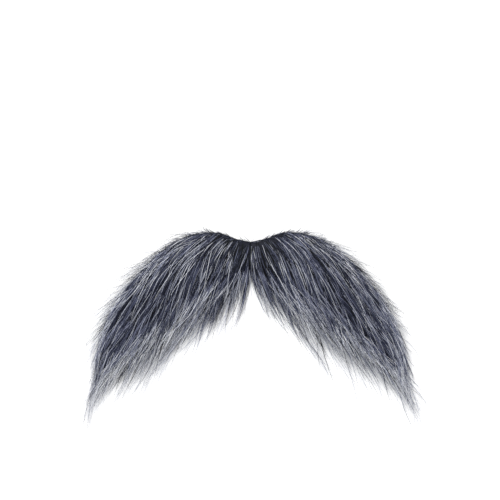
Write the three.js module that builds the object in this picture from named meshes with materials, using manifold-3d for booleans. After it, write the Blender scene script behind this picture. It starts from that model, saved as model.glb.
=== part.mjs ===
// A false moustache of long-pile fur fabric, lying face up as it does on a table.
// Two mirrored halves of fur meet at a parting under the nose, on one knitted backing cloth,
// and a flat adhesive strip under the cloth holds it to the upper lip.
// Millimetres. +X runs to the right wing, +Y up towards the nose, +Z out of the fur.
// The origin is in the middle of the bridge, on the sticky face that everything rests on.
import * as THREE from "three";
import { mergeVertices } from "three/addons/utils/BufferGeometryUtils.js";
import Module from "manifold-3d";

const wasm = await Module();
wasm.setup();

// Driving dimensions
const WING_REACH = 66.5; // parting to the outermost edge of the cloth
const WING_DROP = 62.7; // highest to lowest edge of the cloth
const ADHESIVE_THICKNESS = 0.8;
const ADHESIVE_INSET = 2.4; // from the edge of the cloth to the edge of the strip
const CLOTH_THICKNESS = 1.2;
const FUR_DEPTH = 5.6; // dense underfur where a wing is fullest
const LOCK_LENGTH = 25;
const LOCK_WIDTH = 7.4;
const LOCK_THICKNESS = 3.4;
const PARTING_GAP = 0.3; // between the two halves of fur
const HANG_GAP = 0.3; // between the edge of the cloth and the fur that hangs past it
const FLOOR_CLEARANCE = 0.5; // lowest fur above the sticky face

// Sections across the right wing, from the parting to the tip.
// top and low: where the upper and lower edges of the cloth lie, as shares of WING_REACH outwards
// and of WING_DROP downwards. combTop and combLow: how many degrees the hair points below the
// horizontal at its roots along those edges. full: depth of the underfur, a share of FUR_DEPTH.
// long: length of the hair, a share of LOCK_LENGTH.
const SECTIONS = [
  { top: [0.0, 0.064], low: [0.0, 0.25], combTop: 84, combLow: 84, full: 0.62, long: 0.44 },
  { top: [0.105, 0.04], low: [0.098, 0.31], combTop: 58, combLow: 78, full: 0.74, long: 0.74 },
  { top: [0.206, 0.0], low: [0.195, 0.4], combTop: 26, combLow: 72, full: 0.86, long: 0.92 },
  { top: [0.346, 0.008], low: [0.308, 0.498], combTop: 12, combLow: 68, full: 0.96, long: 1.0 },
  { top: [0.489, 0.067], low: [0.429, 0.601], combTop: 22, combLow: 65, full: 1.0, long: 1.0 },
  { top: [0.624, 0.177], low: [0.549, 0.697], combTop: 32, combLow: 63, full: 1.0, long: 1.0 },
  { top: [0.752, 0.322], low: [0.669, 0.793], combTop: 38, combLow: 61, full: 0.96, long: 1.0 },
  { top: [0.865, 0.49], low: [0.782, 0.88], combTop: 43, combLow: 60, full: 0.88, long: 0.98 },
  { top: [0.947, 0.657], low: [0.872, 0.949], combTop: 50, combLow: 63, full: 0.76, long: 0.96 },
  { top: [0.992, 0.825], low: [0.94, 0.992], combTop: 60, combLow: 68, full: 0.6, long: 0.98 },
  { top: [1.0, 0.912], low: [0.97, 1.0], combTop: 70, combLow: 74, full: 0.46, long: 1.0 },
];

// How the underfur rises across a wing, from its upper edge (across 0) to its lower edge (1).
const SWELL = [
  { across: 0.0, rise: 0.34 },
  { across: 0.14, rise: 0.72 },
  { across: 0.34, rise: 0.96 },
  { across: 0.56, rise: 1.0 },
  { across: 0.8, rise: 0.88 },
  { across: 1.0, rise: 0.62 },
];

// Rows of locks, from the upper edge of a wing to its lower edge. across: where the roots sit.
// from and to: the stretch of the wing that the row covers, from the parting (0) to the tip (1).
// length: a share of the hair's length there. crest: height of the lock's middle above the cloth,
// a share of the underfur's depth. end: height of its end, from the table (0) to the top of the
// underfur at its roots (1). bend: degrees that the lock turns down on its way.
const ROWS = [
  { across: 0.03, locks: 11, from: 0.13, to: 0.94, length: 0.66, crest: 0.5, end: 0.42, bend: 20 },
  { across: 0.17, locks: 9, from: 0.1, to: 0.95, length: 0.86, crest: 1.25, end: 1.0, bend: 22 },
  { across: 0.41, locks: 10, from: 0.04, to: 0.97, length: 1.0, crest: 1.5, end: 1.0, bend: 15 },
  { across: 0.68, locks: 12, from: 0.02, to: 0.98, length: 1.0, crest: 1.45, end: 0.46, bend: 8 },
  { across: 0.94, locks: 15, from: 0.02, to: 0.99, length: 0.9, crest: 0.85, end: 0.0, bend: 5 },
];

// A lock's width and thickness along it, as shares of LOCK_WIDTH and LOCK_THICKNESS.
const TAPER = [
  { along: 0.0, wide: 0.62, thick: 0.7 },
  { along: 0.28, wide: 1.0, thick: 1.0 },
  { along: 0.55, wide: 0.86, thick: 0.84 },
  { along: 0.8, wide: 0.5, thick: 0.5 },
  { along: 1.0, wide: 0.1, thick: 0.14 },
];

const CLOTH_BOTTOM = ADHESIVE_THICKNESS;
const CLOTH_TOP = CLOTH_BOTTOM + CLOTH_THICKNESS;
// The highest edge of the cloth lies this far above the origin, the middle of the bridge.
const TOP_HEIGHT = (WING_DROP * (SECTIONS[0].top[1] + SECTIONS[0].low[1])) / 2;
const TIP_DROOP_FROM = 0.7; // share of the wing past which the locks' ends sink to the table
const OUTLINE_STEPS = 64;
const CROSSING_SLACK = 0.1; // share of a moved outline's distance that a good point may lack
const LOCK_SIDES = 6;

// A number from a table at a share of one of its columns, with straight lines between the rows.
function fromTable(table, keyColumn, column, share) {
  const above = table.findIndex((row) => row[keyColumn] >= share);
  if (above < 0) return table[table.length - 1][column];
  if (above === 0) return table[0][column];
  const [a, b] = [table[above - 1], table[above]];
  const part = (share - a[keyColumn]) / (b[keyColumn] - a[keyColumn]);
  return THREE.MathUtils.lerp(a[column], b[column], part);
}

// A number from SECTIONS, which are evenly numbered from the parting (0) to the tip (1).
function fromSections(column, along) {
  const place = THREE.MathUtils.clamp(along, 0, 1) * (SECTIONS.length - 1);
  const first = Math.min(Math.floor(place), SECTIONS.length - 2);
  return THREE.MathUtils.lerp(SECTIONS[first][column], SECTIONS[first + 1][column], place - first);
}

// Shares of the wing to a place on the table top.
function clothPoint([out, down]) {
  return new THREE.Vector2(out * WING_REACH, TOP_HEIGHT - down * WING_DROP);
}

const topEdge = new THREE.SplineCurve(SECTIONS.map((section) => clothPoint(section.top)));
const lowEdge = new THREE.SplineCurve(SECTIONS.map((section) => clothPoint(section.low)));

function wingPoint(along, across) {
  return topEdge.getPoint(along).lerp(lowEdge.getPoint(along), across);
}

function furDepth(along, across) {
  return FUR_DEPTH * fromSections("full", along) * fromTable(SWELL, "across", "rise", across);
}

// How far a point lies from a closed loop of points.
function distanceToLoop(point, loop) {
  return Math.min(
    ...loop.map((start, i) => {
      const side = loop[(i + 1) % loop.length].clone().sub(start);
      const share = point.clone().sub(start).dot(side) / side.lengthSq();
      const nearest = start.clone().addScaledVector(side, THREE.MathUtils.clamp(share, 0, 1));
      return point.distanceTo(nearest);
    }),
  );
}

// The whole cloth's outline, moved outwards by grow (inwards if that is negative).
// Points that would cross over each other at a tight corner are left out.
function clothOutline(grow) {
  const half = new THREE.SplineCurve([...topEdge.points, ...lowEdge.points.slice().reverse()])
    .getSpacedPoints(OUTLINE_STEPS);
  const mirrored = half.slice(1, -1).reverse().map((p) => new THREE.Vector2(-p.x, p.y));
  const loop = [...half, ...mirrored];
  const moved = loop.map((point, i) => {
    const before = loop[(i + loop.length - 1) % loop.length];
    const after = loop[(i + 1) % loop.length];
    const way = after.clone().sub(before).normalize();
    return new THREE.Vector2(point.x - way.y * grow, point.y + way.x * grow);
  });
  const least = Math.abs(grow) * (1 - CROSSING_SLACK);
  return new THREE.Shape(moved.filter((point) => distanceToLoop(point, loop) >= least));
}

// A flat sheet of the cloth's shape between two heights.
function sheet(grow, bottom, top) {
  const geometry = new THREE.ExtrudeGeometry(clothOutline(grow), {
    depth: top - bottom,
    bevelEnabled: false,
    steps: 1,
  });
  return geometry.translate(0, 0, bottom);
}

// A closed geometry as a solid that can be joined and cut.
function solidOf(geometry) {
  geometry.deleteAttribute("normal");
  geometry.deleteAttribute("uv");
  const merged = mergeVertices(geometry, 1e-4);
  return new wasm.Manifold(
    new wasm.Mesh({
      numProp: 3,
      vertProperties: merged.attributes.position.array,
      triVerts: new Uint32Array(merged.index.array),
    }),
  );
}

// The outer body of a solid, without pockets shut in between locks or crumbs cut off it.
function outerBody(solid) {
  return solid.decompose().reduce((most, body) => (body.volume() > most.volume() ? body : most));
}

function geometryOf(solid) {
  const mesh = solid.getMesh();
  const geometry = new THREE.BufferGeometry();
  geometry.setAttribute("position", new THREE.BufferAttribute(mesh.vertProperties, 3));
  geometry.setIndex(new THREE.BufferAttribute(mesh.triVerts, 1));
  geometry.computeVertexNormals();
  return geometry;
}

// Moves each vertex of a geometry to where shape(x, y, z) puts it.
function reshape(geometry, shape) {
  const position = geometry.attributes.position;
  for (let i = 0; i < position.count; i++) {
    const point = shape(position.getX(i), position.getY(i), position.getZ(i));
    position.setXYZ(i, point.x, point.y, point.z);
  }
  return geometry;
}

// The dense underfur of the right wing: flat on the cloth, domed on top.
function underfur() {
  const alongSteps = 14;
  const acrossSteps = 6;
  const block = new THREE.BoxGeometry(1, 1, 1, alongSteps, acrossSteps, 1);
  return reshape(block, (x, y, z) => {
    const along = x + 0.5;
    const across = 0.5 - y;
    const place = wingPoint(along, across);
    const height = z > 0 ? furDepth(along, across) : 0;
    return new THREE.Vector3(place.x, place.y, CLOTH_TOP + height);
  });
}

// The line that one lock follows, from inside the underfur over its crest to its end.
function lockPath(row, along) {
  const root = wingPoint(along, row.across);
  const depth = furDepth(along, row.across);
  const comb = THREE.MathUtils.lerp(
    fromSections("combTop", along),
    fromSections("combLow", along),
    row.across,
  );
  const droop = THREE.MathUtils.smoothstep(along, TIP_DROOP_FROM, 1);
  const lowest = FLOOR_CLEARANCE + (LOCK_THICKNESS * TAPER[TAPER.length - 1].thick) / 2;
  const end = THREE.MathUtils.lerp(lowest, CLOTH_TOP + depth, row.end * (1 - droop));
  const height = new THREE.QuadraticBezierCurve(
    new THREE.Vector2(0, CLOTH_TOP + depth / 2),
    new THREE.Vector2(0.5, CLOTH_TOP + depth * row.crest),
    new THREE.Vector2(1, end),
  );
  const length = LOCK_LENGTH * fromSections("long", along) * row.length;
  const steps = TAPER.length * 2;
  const place = root.clone();
  const points = [new THREE.Vector3(root.x, root.y, height.getPoint(0).y)];
  for (let i = 1; i <= steps; i++) {
    const angle = THREE.MathUtils.degToRad(comb + (row.bend * i) / steps);
    place.x += (Math.cos(angle) * length) / steps;
    place.y -= (Math.sin(angle) * length) / steps;
    points.push(new THREE.Vector3(place.x, place.y, height.getPoint(i / steps).y));
  }
  return new THREE.CatmullRomCurve3(points);
}

// One tapered lock of hair along its line: a drum whose rings are stretched and laid on the line.
function lock(row, along) {
  const path = lockPath(row, along);
  const drum = new THREE.CylinderGeometry(1, 1, 1, LOCK_SIDES, TAPER.length - 1);
  const up = new THREE.Vector3(0, 0, 1);
  return reshape(drum, (x, y, z) => {
    const station = TAPER[Math.round((0.5 - y) * (TAPER.length - 1))];
    const centre = path.getPoint(station.along);
    const way = path.getTangent(station.along);
    const side = new THREE.Vector3().crossVectors(up, way).normalize();
    const rise = new THREE.Vector3().crossVectors(way, side);
    return centre
      .addScaledVector(side, (x * station.wide * LOCK_WIDTH) / 2)
      .addScaledVector(rise, (z * station.thick * LOCK_THICKNESS) / 2);
  });
}

// The right half of the fur: locks joined to the underfur, cut clear of the parting,
// the table and the cloth.
function furHalf() {
  const locks = ROWS.flatMap((row) =>
    Array.from({ length: row.locks }, (_, i) => {
      const along = THREE.MathUtils.lerp(row.from, row.to, i / (row.locks - 1));
      return solidOf(lock(row, along));
    }),
  );
  const joined = locks.reduce((all, one) => all.add(one), solidOf(underfur()));
  const room = 4 * (WING_REACH + WING_DROP + LOCK_LENGTH);
  const keep = new THREE.BoxGeometry(room, room, room).translate(
    room / 2 + PARTING_GAP / 2,
    0,
    room / 2 + FLOOR_CLEARANCE,
  );
  const cloth = solidOf(sheet(HANG_GAP, -CLOTH_THICKNESS, CLOTH_TOP));
  return geometryOf(outerBody(joined.intersect(solidOf(keep)).subtract(cloth)));
}

const furMaterial = new THREE.MeshStandardMaterial({
  color: "#50566a",
  roughness: 0.75,
  metalness: 0,
});
const clothMaterial = new THREE.MeshStandardMaterial({
  color: "#1b1d20",
  roughness: 0.95,
  metalness: 0,
});
const adhesiveMaterial = new THREE.MeshStandardMaterial({
  color: "#e9e6dc",
  roughness: 0.4,
  metalness: 0,
});

const moustache = new THREE.Group();

function addPiece(name, geometry, material) {
  const piece = new THREE.Mesh(geometry, material);
  piece.name = name;
  moustache.add(piece);
  return piece;
}

addPiece("adhesive_strip", sheet(-ADHESIVE_INSET, 0, CLOTH_BOTTOM), adhesiveMaterial);
addPiece("backing_cloth", sheet(0, CLOTH_BOTTOM, CLOTH_TOP), clothMaterial);

const half = furHalf();
addPiece("right_fur", half, furMaterial);
addPiece("left_fur", half, furMaterial).scale.x = -1;

export default moustache;
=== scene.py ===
"""A false moustache of long grey fur, lying face up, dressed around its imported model.

Metres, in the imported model's frame: +X runs to the right wing's tip, +Y up towards the nose and
+Z out of the fur. The origin is in the middle of the bridge, on the sticky face.
"""

import logging
import math
from dataclasses import dataclass
from enum import Enum

import bpy
import numpy as np
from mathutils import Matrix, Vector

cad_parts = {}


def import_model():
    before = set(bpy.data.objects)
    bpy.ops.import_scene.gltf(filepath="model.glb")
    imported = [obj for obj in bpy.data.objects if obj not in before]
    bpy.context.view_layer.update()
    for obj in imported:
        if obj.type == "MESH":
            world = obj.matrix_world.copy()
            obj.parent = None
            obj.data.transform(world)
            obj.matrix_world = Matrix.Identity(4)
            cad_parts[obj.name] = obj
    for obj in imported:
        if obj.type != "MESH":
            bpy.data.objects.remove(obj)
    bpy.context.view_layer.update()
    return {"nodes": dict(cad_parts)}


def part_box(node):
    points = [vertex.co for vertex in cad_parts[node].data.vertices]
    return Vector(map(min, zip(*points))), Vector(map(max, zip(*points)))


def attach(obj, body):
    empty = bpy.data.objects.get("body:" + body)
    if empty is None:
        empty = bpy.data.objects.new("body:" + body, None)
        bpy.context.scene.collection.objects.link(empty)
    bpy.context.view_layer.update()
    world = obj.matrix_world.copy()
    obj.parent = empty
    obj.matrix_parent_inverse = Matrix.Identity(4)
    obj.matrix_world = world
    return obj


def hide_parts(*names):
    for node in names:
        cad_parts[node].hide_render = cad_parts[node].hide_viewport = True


LOG = logging.getLogger("moustache")
MM = 0.001
ROOT_BODY = "root"
# The steps of a series that fills a square evenly: 1 / p and 1 / p², where p³ = p + 1.
EVEN_STEPS = np.array([0.7548776662, 0.5698402910])


class Side(Enum):
    """The two halves of the fur. The value is the sign of X on that side."""

    RIGHT = 1
    LEFT = -1


@dataclass(frozen=True)
class Section:
    """One section across a wing. Sections are evenly numbered from the parting to the tip.

    top and low are the ends of the section on the cloth's upper and lower edges, as shares of the
    wing's reach outwards and of its drop downwards. comb_top, comb_middle and comb_low are how
    many degrees the hair points below the horizontal at its root, at the upper edge, between the
    edges and at the lower edge. bend_top and bend_low are how many more it turns down on its way.
    full is the underfur's depth and long the hair's length, as shares of the fullest and the
    longest. short is the most by which a single hair falls short of that length, and pale is how
    much lighter the hair is there.
    """

    top: tuple[float, float]
    low: tuple[float, float]
    comb_top: float
    comb_middle: float
    comb_low: float
    bend_top: float
    bend_low: float
    full: float
    long: float
    short: float
    pale: float


SECTIONS = (
    Section((0.0, 0.064), (0.0, 0.25), 92, 91, 89, -28, -30, 0.62, 0.94, 0.72, 0.13),
    Section((0.105, 0.04), (0.098, 0.31), 48, 72, 62, 6, -22, 0.74, 1.04, 0.68, 0.1),
    Section((0.206, 0.0), (0.195, 0.4), 14, 66, 58, 34, -8, 0.86, 1.22, 0.7, 0.07),
    Section((0.346, 0.008), (0.308, 0.498), 12, 58, 60, 32, -6, 0.96, 0.98, 0.72, 0.01),
    Section((0.489, 0.067), (0.429, 0.601), 25, 54, 64, 25, 0, 1.0, 0.78, 0.78, -0.01),
    Section((0.624, 0.177), (0.549, 0.697), 35, 52, 62, 19, 4, 1.0, 0.86, 0.84, 0.0),
    Section((0.752, 0.322), (0.669, 0.793), 40, 53, 56, 18, 2, 0.96, 0.78, 0.9, 0.03),
    Section((0.865, 0.49), (0.782, 0.88), 43, 54, 52, 24, 2, 0.88, 0.72, 0.95, 0.07),
    Section((0.947, 0.657), (0.872, 0.949), 48, 60, 55, 32, 6, 0.76, 0.74, 0.97, 0.16),
    Section((0.992, 0.825), (0.94, 0.992), 62, 68, 62, 22, 8, 0.58, 0.76, 0.985, 0.48),
    Section((1.0, 0.912), (0.97, 1.0), 74, 73, 68, 8, 8, 0.42, 0.8, 0.99, 0.72),
)


@dataclass(frozen=True)
class Band:
    """How the fur is across a wing, from its upper edge (0) to its lower edge (1).

    rise is the underfur's height and length the hair's length, as shares. thin is how much of the
    section's shortness the hair takes there, and bend how much of its bend is the upper edge's.
    pale is how much lighter the hair is there.
    """

    across: float
    rise: float
    length: float
    thin: float
    bend: float
    pale: float


BANDS = (
    Band(0.0, 0.34, 0.85, 0.9, 1.0, 0.11),
    Band(0.14, 0.72, 1.15, 0.5, 1.0, 0.02),
    Band(0.34, 0.96, 1.42, 0.3, 0.7, -0.11),
    Band(0.56, 1.0, 1.3, 0.45, 0.35, -0.14),
    Band(0.8, 0.88, 1.0, 0.8, 0.1, -0.02),
    Band(1.0, 0.62, 0.82, 1.0, 0.0, 0.14),
)


@dataclass(frozen=True)
class TaperPoint:
    """A strand's width, as a share of its full width, at a place from root (0) to tip (1)."""

    run: float
    width: float


TAPER = (
    TaperPoint(0.0, 0.7),
    TaperPoint(0.15, 1.0),
    TaperPoint(0.5, 0.85),
    TaperPoint(0.8, 0.45),
    TaperPoint(1.0, 0.0),
)


def spline(points: np.ndarray, share: np.ndarray) -> np.ndarray:
    """Points on the even Catmull-Rom curve through the given points.

    Args:
        points: the points that the curve passes through, one a row.
        share: how far along the curve, from 0 to 1.

    Returns:
        One point for each share.
    """
    last = len(points) - 1
    place = np.clip(share, 0, 1) * last
    first = np.minimum(place.astype(int), last - 1)
    w = (place - first)[..., None]
    before = points[np.maximum(first - 1, 0)]
    start = points[first]
    end = points[first + 1]
    after = points[np.minimum(first + 2, last)]
    leave = (end - before) / 2
    arrive = (after - start) / 2
    return (
        (2 * start - 2 * end + leave + arrive) * w**3
        + (3 * end - 3 * start - 2 * leave - arrive) * w**2
        + leave * w
        + start
    )


def smooth_step(value: np.ndarray) -> np.ndarray:
    """The smooth ramp from 0 to 1 over that same range."""
    t = np.clip(value, 0, 1)
    return t * t * (3 - 2 * t)


@dataclass
class WingPlan:
    """The plan of the right wing and the run of its hair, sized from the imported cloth."""

    reach: float
    drop: float
    top: float
    cloth_top: float
    fur_depth: float = 5.6 * MM
    hair_length: float = 25 * MM
    comb_middle: float = 0.4
    shortening: float = 0.45
    tip_from: float = 0.78
    tip_shortening: float = 0.3
    tip_fine: float = 0.66
    low_from: float = 0.6
    low_fine: float = 0.95
    tip_sparse: float = 0.88
    low_sparse: float = 0.58
    hang: float = 28 * MM
    # Painted shade at the roots: the share of each hair painted near black where it goes into the
    # pile, deepest round the bridge.
    root_shade_reach: float = 19 * MM
    root_shade_squash: float = 1.9
    root_shade_bridge: float = 0.56
    dark_root: float = 0.06
    even_cells: tuple[int, int] = (160, 60)

    @classmethod
    def from_frame(cls) -> "WingPlan":
        """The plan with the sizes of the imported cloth."""
        low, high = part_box("backing_cloth")
        return cls(reach=high.x, drop=high.y - low.y, top=high.y, cloth_top=high.z)

    def column(self, name: str, along: np.ndarray) -> np.ndarray:
        """One column of SECTIONS, read between its rows."""
        values = [getattr(section, name) for section in SECTIONS]
        return np.interp(np.clip(along, 0, 1) * (len(SECTIONS) - 1), range(len(SECTIONS)), values)

    def band(self, name: str, across: np.ndarray) -> np.ndarray:
        """One column of BANDS, read between its rows."""
        values = [getattr(row, name) for row in BANDS]
        return np.interp(across, [row.across for row in BANDS], values)

    def edge(self, name: str, along: np.ndarray) -> np.ndarray:
        """Points on one edge of the cloth.

        Args:
            name: "top" for the upper edge or "low" for the lower one.
            along: how far along the wing each point lies.

        Returns:
            X and Y of each point.
        """
        shares = np.array([getattr(section, name) for section in SECTIONS])
        points = np.stack([shares[:, 0] * self.reach, self.top - shares[:, 1] * self.drop], 1)
        return spline(points, along)

    def place(self, along: np.ndarray, across: np.ndarray) -> np.ndarray:
        """Where a point of the wing lies on the table, as X and Y."""
        top = self.edge("top", along)
        return top + (self.edge("low", along) - top) * across[..., None]

    def comb(self, along: np.ndarray, across: np.ndarray) -> np.ndarray:
        """How many degrees the hair points below the horizontal at its root.

        Args:
            along: how far along the wing each hair is rooted.
            across: how far across it.

        Returns:
            The angle of each hair.
        """
        top, low = self.column("comb_top", along), self.column("comb_low", along)
        middle = self.column("comb_middle", along)
        before = np.clip(across / self.comb_middle, 0, 1)
        after = smooth_step((across - self.comb_middle) / (1 - self.comb_middle))
        return top + (middle - top) * before * (2 - before) + (low - middle) * after

    def length(self, along: np.ndarray, across: np.ndarray) -> np.ndarray:
        """Full length of the hair rooted there."""
        return self.hair_length * self.column("long", along) * self.band("length", across)

    def cut(self, along: np.ndarray, across: np.ndarray, chance: np.ndarray) -> np.ndarray:
        """Share by which each hair falls short: by the edges and the tip few are left whole.

        Args:
            along: how far along the wing each hair is rooted.
            across: how far across it.
            chance: an even draw from 0 to 1 for each hair.

        Returns:
            The share of each hair that is missing.
        """
        tip = self.tip_share(along)
        thin = self.band("thin", across)
        thin += (1 - thin) * tip
        power = self.shortening + (self.tip_shortening - self.shortening) * tip
        return self.column("short", along) * thin * chance**power

    def tip_share(self, along: np.ndarray) -> np.ndarray:
        """How much a place belongs to the tip: 0 on most of the wing and 1 at its end."""
        return smooth_step((along - self.tip_from) / (1 - self.tip_from))

    def fineness(self, along: np.ndarray, across: np.ndarray) -> np.ndarray:
        """Width of the hair as a share of its full width: finer by the tip and the lower edge."""
        by_tip = 1 - (1 - self.tip_fine) * self.tip_share(along)
        return by_tip * (1 - (1 - self.low_fine) * self.low_share(across))

    def low_share(self, across: np.ndarray) -> np.ndarray:
        """How much a place belongs to the lower edge: 0 on the upper half and 1 on that edge."""
        return smooth_step((across - self.low_from) / (1 - self.low_from))

    def sparseness(self, along: np.ndarray, across: np.ndarray) -> np.ndarray:
        """Share of the hair that is missing there: most by the tip and the lower edge."""
        by_tip = 1 - self.tip_sparse * self.tip_share(along)
        return 1 - by_tip * (1 - self.low_sparse * self.low_share(across))

    def room(self, root: np.ndarray) -> np.ndarray:
        """The longest that hair rooted there may be without hanging too far past the cloth."""
        return root[:, 1] - (self.top - self.drop - self.hang)

    def depth(self, along: np.ndarray, across: np.ndarray) -> np.ndarray:
        """Depth of the underfur over the cloth."""
        return self.fur_depth * self.column("full", along) * self.band("rise", across)

    def dark(self, place: np.ndarray) -> np.ndarray:
        """Share of the hair, from its root, that is painted near black as shade where it goes into
        the pile: most of it close to the bridge.

        Args:
            place: X and Y of each root.

        Returns:
            The dark share of each hair.
        """
        bridge = self.top - SECTIONS[0].top[1] * self.drop
        away = np.hypot(place[:, 0], (place[:, 1] - bridge) * self.root_shade_squash)
        near = smooth_step(1 - away / self.root_shade_reach)
        return self.dark_root + (self.root_shade_bridge - self.dark_root) * near

    def bend(self, along: np.ndarray, across: np.ndarray) -> np.ndarray:
        """How many degrees the hair rooted there turns down on its way."""
        top, low = self.column("bend_top", along), self.column("bend_low", along)
        return low + (top - low) * self.band("bend", across)

    def scatter(
        self,
        rng: np.random.Generator,
        count: int,
        zone: tuple[float, float] = (0, 1),
        stretch: tuple[float, float] = (0, 1),
    ) -> tuple[np.ndarray, np.ndarray]:
        """Roots spread evenly over the wing.

        Args:
            rng: the source of chance.
            count: how many roots.
            zone: the part across the wing that they lie in.
            stretch: the part along the wing that they lie in.

        Returns:
            How far along and how far across the wing each root lies.
        """
        columns, rows = self.even_cells
        along_lines = np.linspace(*stretch, columns + 1)
        across_lines = np.linspace(*zone, rows + 1)
        grid_along, grid_across = np.meshgrid(along_lines, across_lines, indexing="ij")
        here = self.place(grid_along.ravel(), grid_across.ravel()).reshape(*grid_along.shape, 2)
        on = np.diff(here, axis=0)[:, :-1]
        over = np.diff(here, axis=1)[:-1]
        area = np.abs(on[..., 0] * over[..., 1] - on[..., 1] * over[..., 0])

        jitter = rng.uniform(-0.5, 0.5, (count, 2)) / math.sqrt(count)
        chance = (rng.uniform(0, 1, 2) + np.arange(count)[:, None] * EVEN_STEPS + jitter) % 1
        up_to = np.append(0, np.cumsum(area.sum(1))) / area.sum()
        along = np.interp(chance[:, 0], up_to, along_lines)
        column = np.clip(np.searchsorted(up_to, chance[:, 0]) - 1, 0, columns - 1)
        share = np.cumsum(area, axis=1)[column] / area.sum(1)[column][:, None]
        row = np.minimum((share < chance[:, 1:]).sum(1), rows - 1)
        low = np.where(row > 0, share[np.arange(count), row - 1], 0)
        high = share[np.arange(count), row]
        step = (zone[1] - zone[0]) / rows
        return along, across_lines[row] + step * (chance[:, 1] - low) / (high - low)


@dataclass
class Relief:
    """Height of the combed underfur over the table, as a grid of cells over the right wing.

    It falls off softly past the edge of the cloth, as hair does that lies down on a table.
    """

    plan: WingPlan
    cell: float = 1.0 * MM
    margin: float = 26 * MM
    floor: float = 0.5 * MM
    soft_rounds: int = 4
    drape_rounds: int = 26
    samples: tuple[int, int] = (400, 160)

    def __post_init__(self) -> None:
        """Fills the grid from the plan."""
        self.low_x = -self.margin
        self.low_y = self.plan.top - self.plan.drop - self.margin
        columns = int((self.plan.reach + 2 * self.margin) / self.cell)
        rows = int((self.plan.drop + 2 * self.margin) / self.cell)
        along, across = np.meshgrid(*(np.linspace(0, 1, number) for number in self.samples))
        along, across = along.ravel(), across.ravel()
        place = self.plan.place(along, across)
        height = self.plan.cloth_top + self.plan.depth(along, across)
        grid = np.full((rows, columns), self.floor)
        for sign in (1, -1):
            column = ((sign * place[:, 0] - self.low_x) / self.cell).astype(int)
            row = ((place[:, 1] - self.low_y) / self.cell).astype(int)
            inside = (column >= 0) & (column < columns)
            np.maximum.at(grid, (row[inside], column[inside]), height[inside])
        soft = self.blur(grid, self.soft_rounds)
        self.grid = np.maximum(soft, self.blur(grid, self.drape_rounds))

    def blur(self, grid: np.ndarray, rounds: int) -> np.ndarray:
        """Averages each cell of a grid with its eight neighbours.

        Args:
            grid: the heights.
            rounds: how many times it is done.

        Returns:
            The softened heights.
        """
        for _ in range(rounds):
            wide = np.pad(grid, 1, mode="edge")
            rows = (wide[:-2] + wide[1:-1] + wide[2:]) / 3
            grid = (rows[:, :-2] + rows[:, 1:-1] + rows[:, 2:]) / 3
        return grid

    def height(self, x: np.ndarray, y: np.ndarray) -> np.ndarray:
        """Height of the underfur at each place, read between the cells.

        Args:
            x: how far right of the parting each place lies.
            y: how far above the origin.

        Returns:
            The height at each place.
        """
        column = np.clip((x - self.low_x) / self.cell - 0.5, 0, self.grid.shape[1] - 1.001)
        row = np.clip((y - self.low_y) / self.cell - 0.5, 0, self.grid.shape[0] - 1.001)
        c, r = column.astype(int), row.astype(int)
        u, v = column - c, row - r
        low = self.grid[r, c] * (1 - u) + self.grid[r, c + 1] * u
        high = self.grid[r + 1, c] * (1 - u) + self.grid[r + 1, c + 1] * u
        return low * (1 - v) + high * v


@dataclass(frozen=True)
class StrandLot:
    """The settings of one lot of strands, which becomes one mesh on each half.

    Sizes are in metres and angles in degrees. Pairs are the lowest and highest value, and length
    is the least, likeliest and greatest share of the full length. lift is the height over the
    underfur, and tone runs from 0, black, to 1, near white. tufts is how many tufts the lot falls
    into, gather how far a tuft's tips draw together and follow how much a strand takes its tuft's
    direction. tuft_turn and stray_turn are how far tufts and strands stray from the comb, and wave
    is the wave in a strand. tuft_tone and uneven are how much the tufts differ in tone and length.
    zone and stretch are where the roots lie across and along the wing. comb, bend, trim,
    lock_share, the root shade share and thinning are how much the strands take of the comb's
    direction, the bend, the shortening, the locks, the painted root shade and the thinning by the
    tip and the lower edge.
    lean turns them further, upwards where it is below zero.
    """

    name: str
    count: int
    stations: int
    width: tuple[float, float]
    length: tuple[float, float, float]
    lift: tuple[float, float]
    tone: float
    tone_spread: float
    tufts: int = 300
    gather: float = 0.55
    follow: float = 0.6
    tuft_turn: float = 5.0
    stray_turn: float = 4.0
    wave: float = 5.0
    tuft_tone: float = 0.07
    uneven: float = 0.14
    zone: tuple[float, float] = (0.0, 1.0)
    stretch: tuple[float, float] = (0.0, 1.0)
    comb: float = 1.0
    lean: float = 0.0
    bend: float = 1.0
    trim: float = 1.0
    lock_share: float = 1.0
    root_shade_share: float = 1.0
    thinning: float = 1.0
    seed: int = 1


@dataclass
class Strands:
    """Strands as centre lines with a radius at each station, and what colours them."""

    lines: np.ndarray
    radii: np.ndarray
    tone: np.ndarray
    # Share of each strand, from its root, painted near black as root shade.
    dark: np.ndarray


@dataclass
class Locks:
    """The broad locks that the fur parts into, which all the lots of strands share."""

    root: np.ndarray
    heading: np.ndarray
    turn: np.ndarray
    # Painted shade and light by each lock's height.
    tone: np.ndarray
    lift: np.ndarray
    reach: np.ndarray


@dataclass
class Planting:
    """Where one lot's strands are rooted, and the tuft and the lock that each belongs to.

    The abreast points are where a tuft's or a lock's own line passes each root.
    """

    along: np.ndarray
    across: np.ndarray
    root: np.ndarray
    tuft_along: np.ndarray
    tuft_across: np.ndarray
    tuft: np.ndarray
    tuft_abreast: np.ndarray
    lock: np.ndarray
    lock_abreast: np.ndarray


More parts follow.
